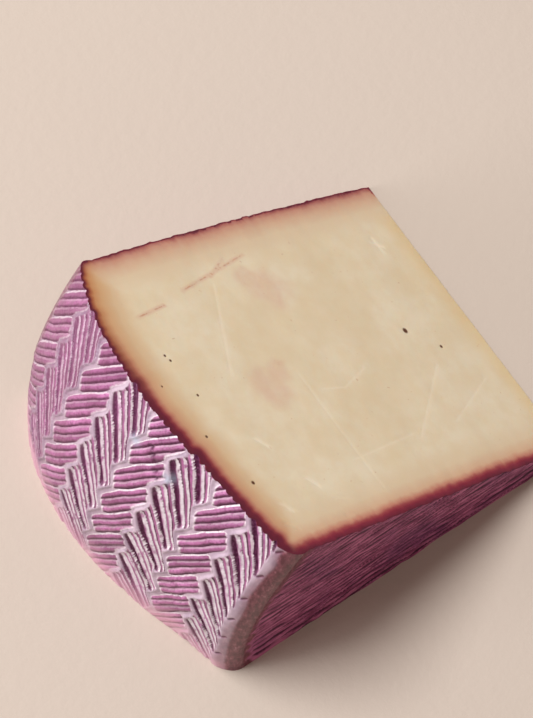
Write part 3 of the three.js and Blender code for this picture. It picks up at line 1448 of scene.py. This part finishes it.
        # Painted shade, with wine stain: the dark band on each strand's lower, down-facing side, in
        # patches.
        dark = 1 - past_dark.step(*self.dark_edge)
        patchy_painted_shade = patchiness * self.shade_patchiness + (1 - self.shade_patchiness)
        colour = tree.mix(opening * dark * firm * patchy_painted_shade, colour, self.wine)
        blue = tree.read("blue") * (fleck * self.blue_fleck + (1 - self.blue_fleck))
        colour = tree.mix(blue, colour, self.blue)
        return tree.mix(tree.read("stain"), colour, self.wine)

    def flat_colour(self, tree: FinishTree) -> bpy.types.NodeSocket:
        """Colour the ridged flats, with painted highlight streaks along the ridges and painted shade in
        their grooves.

        Args:
            tree: The rind's nodes.

        Returns:
            The colour.
        """
        colour = tree.mix(tree.mottle(self.ridge_grain), self.ridge_mauve, self.ridge_pink)
        colour = tree.mix(tree.mottle(self.violet_patches), colour, self.ridge_violet)
        # Painted highlight: thin pink streaks along the ridges.
        colour = tree.mix(tree.mottle(self.pink_highlight_streaks), colour, self.ridge_pink)
        colour = tree.mix(tree.read("foot") * self.ridge_foot, colour, self.ridge_pink)
        # Painted shade: dark in the grooves between the ridges.
        groove = tree.read("groove").step(*self.groove_span)
        return tree.mix(groove * self.groove_strength, colour, self.ridge_dark)

    def make(self) -> bpy.types.Material:
        """Build the material.

        Returns:
            The material.
        """
        tree = FinishTree("wine_rind")
        flat = tree.read("flat")
        colour = tree.mix(flat, self.rim_colour(tree), self.flat_colour(tree))
        wax = tree.mix(tree.mottle(self.wax_streaks), self.shoulder_dark, self.shoulder_brown)
        # Painted highlight: pale gloss streaks on the brown wax of the shoulders.
        wax = tree.mix(tree.mottle(self.wax_highlights), wax, self.shoulder_highlight)
        colour = tree.mix(tree.read("shoulder"), colour, wax)
        rough = tree.noise(self.roughness_grain) * self.roughness_spread
        return tree.finish(
            {
                "Base Color": colour,
                "Roughness": rough + flat * self.flat_roughness + (self.roughness - self.roughness_drop),
                "Normal": tree.skin(self.skin),
                "Coat Weight": (1 - flat) * self.wax,
                "Coat Roughness": self.wax_roughness,
                "Specular IOR Level": self.shine,
            }
        )


@dataclass(frozen=True)
class FloorFinish:
    """A plain pale matt board."""

    colour: Colour = paint(193, 180, 169)
    shade: Colour = paint(190, 177, 166)
    patch_grain: float = 60.0
    plaster_grain: float = 3.0
    plaster_depth: float = 0.12
    roughness: float = 0.9
    shine: float = 0.2

    def make(self) -> bpy.types.Material:
        """Build the material.

        Returns:
            The material.
        """
        tree = FinishTree("pale_board")
        return tree.finish(
            {
                "Base Color": tree.mix(tree.noise(self.patch_grain), self.colour, self.shade),
                "Roughness": self.roughness,
                "Normal": tree.bump(tree.noise(self.plaster_grain), self.plaster_depth),
                "Specular IOR Level": self.shine,
            }
        )


@dataclass
class CheeseWedge:
    """The wedge: a plaited rim, two ridged flats, two cut faces and the thin tip, in one closed mesh."""

    form: WheelForm = field(default_factory=WheelForm)
    plait: Plait = field(default_factory=Plait)
    ridges: DrainageRidges = field(default_factory=DrainageRidges)
    marks: CutFaceMarks = field(default_factory=CutFaceMarks)
    lumps: Unevenness = field(default_factory=lambda: Unevenness(LUMP_SEED))
    rim_spacing: float = 0.29
    flat_row_spacing: float = 0.36
    flat_column_spacing: float = 0.95
    border_spacing: float = 0.5
    cut_spacing: float = 1.3
    stain_band: float = 7.0
    rim_start_gap: float = 0.6
    rim_end_gap: float = 0.5
    flat_clearance: float = 0.3
    cut_clearance: float = 0.28
    tip_bulge: float = 0.12
    tip_dent: Ripple = Ripple(0.12, 3.0, 1.0)
    rim_lump: Ripple = Ripple(0.3, 13.0, 11.0)
    front_lump_fade: Span = (0.0, 5.0)
    back_lump_fade: Span = (0.0, 3.0)
    back_plait_fade: Span = (0.2, 2.5)
    wax_edge: Ripple = Ripple(0.7, 4.0, 2.0, 0.0, 30.0)
    wax_span: Span = (0.2, 1.2)
    wax_edge_share: float = 0.6
    wax_rise: float = 1.1
    thin_wax_span: Span = (1.8, 3.0)
    thin_wax: float = 0.4
    back_wax_span: Span = (-1.4, 0.4)
    back_wax: float = 0.7
    flat_lump: Ripple = Ripple(0.15, 14.0, 8.0)
    ridge_fade: Span = (0.0, 2.2)
    groove_fade: Span = (0.0, 2.0)
    foot_along: Span = (1.0, 14.0)
    foot_up: Span = (2.0, 16.0)
    flat_wax_edge: Ripple = Ripple(1.2, 3.0, 1.4, 60.0)
    front_wax_reach: float = 4.6
    front_wax_least: float = 0.12
    back_wax_reach: float = 1.6
    least_wax_reach: float = 0.5
    flat_wax_span: Span = (0.35, 1.15)
    border_fade: Span = (0.0, 1.5)
    tip_fade: Span = (0.2, 2.0)

    def lift_rim(self, arc: np.ndarray, run: np.ndarray) -> tuple[np.ndarray, Fields]:
        """Place points of the rim.

        Args:
            arc: Length round the rim from the table.
            run: Length over the profile from the front flat.

        Returns:
            The points and their fields.
        """
        angle = arc / self.form.radius
        radius, height = self.form.rim_profile(run, angle)
        relief, fields = self.plait.press(arc, height)
        run_left = self.form.whole_run - run
        ends = smooth_step(run, *self.front_lump_fade) * smooth_step(run_left, *self.back_lump_fade)
        lump = self.lumps.layer(self.rim_lump, arc, height) * ends
        radius = radius + relief * smooth_step(run_left, *self.back_plait_fade) + lump
        fields["shoulder"] = self.wax_on_rim(arc, height)
        points = np.stack([-radius * np.cos(angle), height, radius * np.sin(angle)], axis=1)
        return points, fields

    def wax_on_rim(self, arc: np.ndarray, height: np.ndarray) -> np.ndarray:
        """Say where the brown wax of the shoulders covers the rim.

        Args:
            arc: Length round the rim from the table.
            height: Height in the wheel.

        Returns:
            How much wax covers each point, from 0 to 1.
        """
        edge = self.lumps.layer(self.wax_edge, arc, height)
        rise = np.clip(arc / self.form.radius / self.form.wedge_angle, 0.0, 1.0)
        waved = height + self.wax_edge_share * edge - self.wax_rise * rise
        front = 1 - smooth_step(waved, *self.wax_span)
        front = np.maximum(front, self.thin_wax * (1 - smooth_step(height + edge, *self.thin_wax_span)))
        start, end = self.back_wax_span
        back = smooth_step(height + edge, self.form.height + start, self.form.height + end)
        return np.maximum(front, back * self.back_wax)

    def lift_flat(self, side: Side, x: np.ndarray, z: np.ndarray) -> tuple[np.ndarray, Fields]:
        """Place points of a flat.

        Args:
            side: Which flat.
            x: Distance along the table from the tip edge, towards the rim below 0.
            z: Height above the table.

        Returns:
            The points and their fields.
        """
        distance = np.hypot(x, z)
        shoulder = self.form.front_shoulder if side is Side.FRONT else self.form.back_shoulder
        gap = self.form.radius - shoulder - distance
        relief, groove = self.ridges.press(-x, z)
        lump = self.lumps.layer(self.flat_lump, x, z)
        height = self.form.flat_height(side, distance, z)
        height = height + side.value * smooth_step(gap, *self.ridge_fade) * (relief + lump)
        top = z / (self.form.radius * math.sin(self.form.wedge_angle))
        reach = self.back_wax_reach
        if side is Side.FRONT:
            reach = self.front_wax_reach * np.clip(top**2, self.front_wax_least, 1.0)
        ragged = gap + self.lumps.layer(self.flat_wax_edge, x, z)
        wax_share = ragged / np.maximum(reach, self.least_wax_reach)
        fields = {
            "flat": np.ones_like(x),
            # Painted shade for the grooves between the ridges, faded out near the shoulder.
            "groove": groove * smooth_step(gap, *self.groove_fade),
            "foot": (1 - smooth_step(gap, *self.foot_along)) * (1 - smooth_step(z, *self.foot_up)),
            "shoulder": 1 - smooth_step(wax_share, *self.flat_wax_span),
        }
        return np.stack([x, height, z], axis=1), fields

    def top_arc(self, run: np.ndarray) -> np.ndarray:
        """Give the length round the rim, from the table, at which the upper cut face meets it.

        Args:
            run: Length over the profile from the front flat.

        Returns:
            One length for each point of the profile.
        """
        angle = np.full_like(run, self.form.wedge_angle)
        radius, _ = self.form.rim_profile(run, angle)
        return self.form.radius * self.form.top_angle(radius)

    def flat_edge(self, side: Side, corner: np.ndarray, is_top: bool) -> tuple[np.ndarray, Fields]:
        """Place the points of a flat's edge, between the rim's corner and the tip's.

        Args:
            side: Which flat.
            corner: The rim's corner, where the edge starts.
            is_top: Whether this is the edge of the upper cut face.

        Returns:
            The points from rim to tip, without the rim's corner, and their fields.
        """
        steps = int(-corner[0] / self.border_spacing)
        x = np.linspace(corner[0], 0.0, steps)[1:]
        z = self.form.top_level(x) if is_top else np.zeros_like(x)
        return self.lift_flat(side, x, z)

    def build(self) -> Shell:
        """Build the whole surface.

        Returns:
            The closed shell.
        """
        shell = Shell()
        run = np.linspace(0.0, self.form.whole_run, int(self.form.whole_run / self.rim_spacing))
        top_arc = self.top_arc(run)
        rim_bottom = shell.add(*self.lift_rim(np.zeros_like(run), run))
        top_points, top_fields = self.lift_rim(top_arc, run)
        top_points[:, 2] = self.form.top_level(top_points[:, 0])
        rim_top = shell.add(top_points, top_fields)
        sides, side_arcs = {}, {}
        for side, end in ((Side.FRONT, 0), (Side.BACK, -1)):
            steps = int(top_arc[end] / self.border_spacing)
            arc = np.linspace(0.0, top_arc[end], steps)[1:-1]
            middle = shell.add(*self.lift_rim(arc, np.full_like(arc, run[end])))
            sides[side] = np.concatenate([[rim_bottom[end]], middle, [rim_top[end]]])
            side_arcs[side] = arc
        self.fill_rim(shell, run, top_arc, rim_bottom, rim_top, sides, side_arcs)
        tops, bottoms, tips = {}, {}, {}
        for side, end in ((Side.FRONT, 0), (Side.BACK, -1)):
            for edges, start, is_top in ((tops, rim_top[end], True), (bottoms, rim_bottom[end], False)):
                corner = shell.place_of(np.array([start]))[0]
                middle = shell.add(*self.flat_edge(side, corner, is_top))
                edges[side] = np.concatenate([[start], middle])
            middle_of_tip = shell.place_of(tops[side][-1:]).copy()
            middle_of_tip[0, 0] = self.tip_bulge
            middle_of_tip[0, 2] = self.form.tip_thickness / 2
            tips[side] = shell.add(middle_of_tip, {"flat": np.ones(1)})[0]
            self.fill_flat(shell, side, sides[side], tops[side], bottoms[side], tips[side])
        tip_rows = self.fill_tip(shell, tops, bottoms, tips)
        self.fill_cut(shell, Face.UPPER_CUT, rim_top, tops, tip_rows[0])
        self.fill_cut(shell, Face.LOWER_CUT, rim_bottom, bottoms, tip_rows[-1])
        return shell

    def fill_rim(
        self,
        shell: Shell,
        run: np.ndarray,
        top_arc: np.ndarray,
        rim_bottom: np.ndarray,
        rim_top: np.ndarray,
        sides: dict[Side, np.ndarray],
        side_arcs: dict[Side, np.ndarray],
    ) -> None:
        """Fill the rim on a map of arc and run.

        Args:
            shell: The shell to add to.
            run: The profile lengths of the rim's rows.
            top_arc: The arc at which each row meets the upper cut face.
            rim_bottom: The points along the table.
            rim_top: The points along the upper cut face.
            sides: The points along each flat, from the table up.
            side_arcs: The arcs of those points, without the corners.
        """
        front_arc, back_arc = side_arcs[Side.FRONT], side_arcs[Side.BACK]
        front, back = sides[Side.FRONT], sides[Side.BACK]
        border = np.concatenate([front, rim_top[1:-1], back[::-1], rim_bottom[1:-1][::-1]])
        zeros = np.zeros_like
        border_map = np.concatenate(
            [
                [[0.0, 0.0]],
                np.stack([front_arc, zeros(front_arc)], axis=1),
                np.stack([top_arc, run], axis=1),
                np.stack([back_arc[::-1], np.full_like(back_arc, run[-1])], axis=1),
                [[0.0, run[-1]]],
                np.stack([zeros(run[1:-1]), run[1:-1][::-1]], axis=1),
            ]
        )
        inside = []
        for row, (here, end) in enumerate(zip(run[1:-1], top_arc[1:-1])):
            shift = 0.5 * self.rim_spacing * (row % 2)
            first = self.rim_spacing * self.rim_start_gap + shift
            last = end - self.rim_spacing * self.rim_end_gap
            arc = np.arange(first, last, self.rim_spacing)
            inside.append(np.stack([arc, np.full_like(arc, here)], axis=1))
        outward = np.array([-1.0, 0.0, 0.5])
        shell.fill(border, border_map, np.concatenate(inside), self.lift_rim, Face.RIM, outward)

    def fill_flat(
        self, shell: Shell, side: Side, rim: np.ndarray, top: np.ndarray, bottom: np.ndarray, tip: int
    ) -> None:
        """Fill a flat on a map of x and z.

        Args:
            shell: The shell to add to.
            side: Which flat.
            rim: The points along the rim, from the table up.
            top: The points along the upper cut face, from the rim to the tip.
            bottom: The points along the table, from the rim to the tip.
            tip: The point half way up the tip.
        """
        border = np.concatenate([rim, top[1:], [tip], bottom[1:][::-1]])
        border_map = shell.place_of(border)[:, (0, 2)]
        rows = np.arange(self.flat_row_spacing, self.form.radius, self.flat_row_spacing)
        columns = np.arange(-self.form.radius, 0.0, self.flat_column_spacing)
        x, z = np.meshgrid(columns, rows)
        x = x + 0.5 * self.flat_column_spacing * (np.arange(len(rows)) % 2)[:, None]
        spots = np.stack([x.ravel(), z.ravel()], axis=1)
        below = spots[:, 1] < self.form.top_level(spots[:, 0]) - self.flat_clearance
        spots = self.clear_of(spots[below], border_map, self.flat_clearance)
        face = Face.FRONT_FLAT if side is Side.FRONT else Face.BACK_FLAT
        outward = np.array([0.0, float(side.value), 0.0])
        shell.fill(border, border_map, spots, lambda a, b: self.lift_flat(side, a, b), face, outward)

    def fill_tip(
        self,
        shell: Shell,
        tops: dict[Side, np.ndarray],
        bottoms: dict[Side, np.ndarray],
        tips: dict[Side, int],
    ) -> list[np.ndarray]:
        """Fill the thin end face of the tip with three rows of points.

        Args:
            shell: The shell to add to.
            tops: The edges of the upper cut face along each flat.
            bottoms: The edges of the lower cut face along each flat.
            tips: The points half way up the tip.

        Returns:
            The rows from the upper to the lower cut face, each from front to back.
        """
        ends = (
            (tops[Side.FRONT][-1], tops[Side.BACK][-1]),
            (tips[Side.FRONT], tips[Side.BACK]),
            (bottoms[Side.FRONT][-1], bottoms[Side.BACK][-1]),
        )
        rows = []
        share = np.linspace(0.0, 1.0, int(self.form.height / self.border_spacing))[1:-1, None]
        for start, end in ends:
            first, last = shell.place_of(np.array([start, end]))
            points = first + share * (last - first)
            fade = np.sin(math.pi * share[:, 0]) ** 0.5
            dent = np.abs(self.lumps.layer(self.tip_dent, points[:, 1], np.zeros_like(fade))) * fade
            points[:, 0] -= dent
            if start == ends[0][0]:
                points[:, 2] = self.form.top_level(points[:, 0])
            flat_gap = np.minimum(points[:, 1] - first[1], last[1] - points[:, 1])
            middle = shell.add(points, {"rim_gap": -points[:, 0] + self.form.radius, "flat_gap": flat_gap})
            rows.append(np.concatenate([[start], middle, [end]]))
        for upper, lower in zip(rows, rows[1:]):
            first = np.stack([upper[:-1], upper[1:], lower[1:]], axis=1)
            second = np.stack([upper[:-1], lower[1:], lower[:-1]], axis=1)
            shell.add_triangles(np.concatenate([first, second]), Face.TIP, np.array([1.0, 0.0, 0.0]))
        return rows

    @staticmethod
    def clear_of(spots: np.ndarray, border_map: np.ndarray, gap: float) -> np.ndarray:
        """Drop the spots that lie too close to a border.

        Args:
            spots: Places on a map.
            border_map: The border's places on it.
            gap: The least distance to keep.

        Returns:
            The spots that are left.
        """
        gaps = CheeseWedge.gap_to(spots, border_map)
        return spots[gaps > gap]

    @staticmethod
    def gap_to(spots: np.ndarray, line: np.ndarray) -> np.ndarray:
        """Measure from each spot to the nearest point of a line.

        Args:
            spots: Places on a map.
            line: The line's points on it.

        Returns:
            One distance for each spot.
        """
        tree = kdtree.KDTree(len(line))
        for number, place in enumerate(line):
            tree.insert((place[0], place[1], 0.0), number)
        tree.balance()
        return np.array([tree.find((spot[0], spot[1], 0.0))[2] for spot in spots])

    def fill_cut(
        self, shell: Shell, face: Face, rim: np.ndarray, edges: dict[Side, np.ndarray], tip: np.ndarray
    ) -> None:
        """Fill a cut face on a map of distance from the tip and height in the wheel.

        Args:
            shell: The shell to add to.
            face: Which cut face.
            rim: The points along the rim, from front to back.
            edges: The points along each flat, from the rim to the tip.
            tip: The points along the tip, from front to back.
        """
        is_upper = face is Face.UPPER_CUT
        slope = self.form.wedge_angle if is_upper else 0.0
        lift_up = self.form.tip_thickness if is_upper else 0.0
        normal = np.array([math.sin(slope), 0.0, math.cos(slope)])

        def to_map(numbers: np.ndarray) -> np.ndarray:
            """Give the places of points on the map."""
            places = shell.place_of(numbers)
            return np.stack([-places[:, 0] / math.cos(slope), places[:, 1]], axis=1)

        border = np.concatenate([rim, edges[Side.BACK][1:], tip[1:-1][::-1], edges[Side.FRONT][1:][::-1]])
        border_map = to_map(border)
        rim_line = to_map(rim)
        flat_line = np.concatenate([to_map(edges[Side.BACK]), to_map(edges[Side.FRONT])])
        reach = float(border_map[:, 0].max())
        low, high = float(border_map[:, 1].min()), float(border_map[:, 1].max())
        spots = self.cut_spots(reach, low, high, rim_line, flat_line, is_upper)
        spots = self.clear_of(spots, border_map, self.cut_clearance)

        def lift(u: np.ndarray, v: np.ndarray) -> tuple[np.ndarray, Fields]:
            """Place points of the map on the cut face.

            Args:
                u: Distance from the tip edge up the face.
                v: Height in the wheel.

            Returns:
                The points and their fields.
            """
            here = np.stack([u, v], axis=1)
            rim_gap, flat_gap = self.gap_to(here, rim_line), self.gap_to(here, flat_line)
            relief, fields = self.marks.press(u, v) if is_upper else (self.marks.press_plain(u, v), {})
            relief = relief * smooth_step(np.minimum(rim_gap, flat_gap), *self.border_fade)
            relief = relief * smooth_step(u, *self.tip_fade)
            base = np.stack([-u * math.cos(slope), v, lift_up + u * math.sin(slope)], axis=1)
            fields.update(rim_gap=rim_gap, flat_gap=flat_gap, tip_gap=u, across=v / self.form.height)
            return base + relief[:, None] * normal, fields

        outward = normal if is_upper else -normal
        shell.fill(border, border_map, spots, lift, face, outward)

    def cut_spots(
        self, reach: float, low: float, high: float, rim: np.ndarray, flats: np.ndarray, with_marks: bool
    ) -> np.ndarray:
        """Spread points over a cut face, closer together where the stain fades.

        Args:
            reach: How far the face goes from the tip.
            low: The lowest height in the wheel.
            high: The highest height in the wheel.
            rim: The rim's line on the map.
            flats: The flats' lines on the map.
            with_marks: Whether to add points round the marks.

        Returns:
            The points on the map.
        """
        groups = []
        for spacing, is_close in ((self.border_spacing, True), (self.cut_spacing, False)):
            u, v = np.meshgrid(np.arange(spacing, reach, spacing), np.arange(low, high, spacing))
            u = u + 0.5 * spacing * (np.arange(len(v)) % 2)[:, None]
            spots = np.stack([u.ravel(), v.ravel()], axis=1)
            gap = np.minimum(self.gap_to(spots, rim), self.gap_to(spots, flats))
            groups.append(spots[(gap < self.stain_band) == is_close])
        if with_marks:
            groups.append(self.marks.close_points())
        return np.concatenate(groups)

    def make(self) -> bpy.types.Object:
        """Build, dress and place the wedge.

        Returns:
            The object, which stands for the wedge's solid.
        """
        reach = self.form.height + self.form.back_bow
        origin = np.array([cad_high.x, cad_high.y - reach * MM, cad_low.z])
        mesh = self.build().to_mesh("goat_cheese_wedge", origin)
        mesh.materials.append(PasteFinish().make())
        mesh.materials.append(RindFinish().make())
        wedge = bpy.data.objects.new("goat_cheese_wedge", mesh)
        bpy.context.scene.collection.objects.link(wedge)
        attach(wedge, BODY)
        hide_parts(NODE)
        return wedge


@dataclass(frozen=True)
class PhotoCamera:
    """The camera that took the photograph: a long lens, high up, left of the front flat."""

    azimuth: float = math.radians(-34.13)
    elevation: float = math.radians(68.045)
    distance: float = 720.4
    aim_from_tip: float = 43.4
    aim_up_wheel: float = 55.58
    lens: float = 159.53
    sensor: float = 36.0
    nearest: float = 50.0

    def make(self, origin: Vector) -> None:
        """Place the camera.

        Args:
            origin: Where the wheel's own origin lies in the frame, in metres.
        """
        flat = math.cos(self.elevation)
        right, forward = math.sin(self.azimuth) * flat, -math.cos(self.azimuth) * flat
        back = Vector((right, forward, math.sin(self.elevation)))
        aim = origin + Vector((-self.aim_from_tip, self.aim_up_wheel, 0.0)) * MM
        camera = bpy.data.cameras.new("photo_camera")
        camera.lens = self.lens
        camera.sensor_width = self.sensor
        camera.sensor_fit = "AUTO"
        camera.clip_start = self.nearest * MM
        holder = bpy.data.objects.new("photo_camera", camera)
        holder.location = aim + back * self.distance * MM
        holder.rotation_euler = (-back).to_track_quat("-Z", "Y").to_euler()
        bpy.context.scene.collection.objects.link(holder)
        bpy.context.scene.camera = holder


@dataclass(frozen=True)
class SoftLight:
    """One large soft light, aimed at the wedge."""

    name: str
    direction: Axes
    distance: float
    size: float
    power: float
    colour: Colour

    def make(self) -> None:
        """Hang the light."""
        direction = Vector(self.direction).normalized()
        lamp = bpy.data.lights.new(self.name, "AREA")
        lamp.shape = "DISK"
        lamp.size = self.size * MM
        lamp.energy = self.power
        lamp.color = self.colour[:3]
        holder = bpy.data.objects.new(self.name, lamp)
        holder.location = direction * self.distance * MM
        holder.rotation_euler = direction.to_track_quat("Z", "Y").to_euler()
        bpy.context.scene.collection.objects.link(holder)


@dataclass(frozen=True)
class Studio:
    """A pale board under a broad soft light from above and behind, and a low one from beyond the rim."""

    lights: tuple[SoftLight, ...] = (
        SoftLight(
            name="ceiling",
            direction=(-0.2, 0.34, 0.92),
            distance=1300.0,
            size=600.0,
            power=17.4,
            colour=(0.99, 1.0, 0.99, 1.0),
        ),
        SoftLight(
            name="window",
            direction=(-0.9, 0.28, 0.34),
            distance=1300.0,
            size=600.0,
            power=7.5,
            colour=(0.98, 0.99, 1.0, 1.0),
        ),
    )
    room_colour: Colour = (1.0, 0.8, 0.71, 1.0)
    room_strength: float = 0.33
    board_size: float = 6000.0

    def make_room(self) -> None:
        """Light the room evenly."""
        world = bpy.data.worlds.new("room")
        world.use_nodes = True
        background = world.node_tree.nodes["Background"]
        background.inputs["Color"].default_value = self.room_colour
        background.inputs["Strength"].default_value = self.room_strength
        bpy.context.scene.world = world

    def make_floor(self) -> None:
        """Lay the board under the wedge."""
        half = self.board_size * MM / 2
        mesh = bpy.data.meshes.new("board")
        corners = [(-half, -half, 0.0), (half, -half, 0.0), (half, half, 0.0), (-half, half, 0.0)]
        mesh.from_pydata(corners, [], [(0, 1, 2, 3)])
        mesh.materials.append(FloorFinish().make())
        floor = bpy.data.objects.new("board", mesh)
        bpy.context.scene.collection.objects.link(floor)

    def make(self) -> None:
        """Set up the board, the lights and the room."""
        self.make_floor()
        for light in self.lights:
            light.make()
        self.make_room()
        bpy.context.scene.view_settings.view_transform = "Standard"


def main() -> None:
    """Build the scene, piece by piece."""
    logging.basicConfig(level=logging.INFO)
    wedge = CheeseWedge()
    reach = wedge.form.height + wedge.form.back_bow
    PhotoCamera().make(Vector((cad_high.x, cad_high.y - reach * MM, cad_low.z)))
    Studio().make()
    made = wedge.make()
    log.info("%s: %d triangles", made.name, len(made.data.polygons))


if __name__ == "__main__":
    main()
